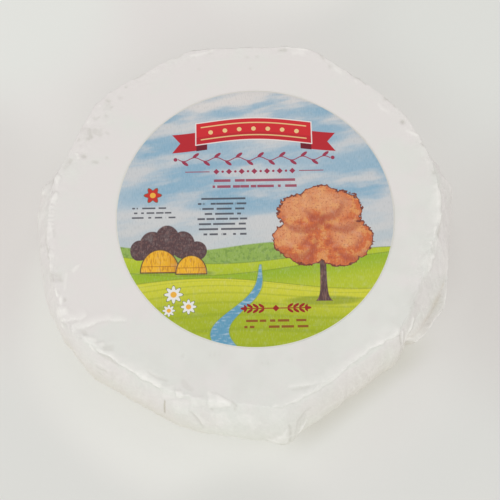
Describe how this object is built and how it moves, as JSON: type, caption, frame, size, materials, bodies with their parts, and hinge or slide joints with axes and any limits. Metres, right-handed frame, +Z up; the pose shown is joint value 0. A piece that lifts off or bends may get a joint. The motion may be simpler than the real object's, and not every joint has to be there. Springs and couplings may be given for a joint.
{
  "type": "wrapped soft goat cheese wheel",
  "caption": "Low round wheel of soft goat cheese shut in creased white paper, slumped wider at the wall, with a round printed paper label on its level top.",
  "frame": {"origin": "on the surface the wheel stands on, under the middle of its box", "axes": "+Z up through the top, +X to the right of the label's print, -Y the front edge below the print"},
  "size_m": [0.2339, 0.2346, 0.0414],
  "materials": {
    "wrap_paper": "thin white waxed wrapping paper, soft sheen, creased and gathered",
    "label_paper": "round label of printed paper, satin, painted look"
  },
  "bodies": {
    "root": {"wrapped_wheel": "wrap_paper", "label": "label_paper"}
  },
  "joints": []
}
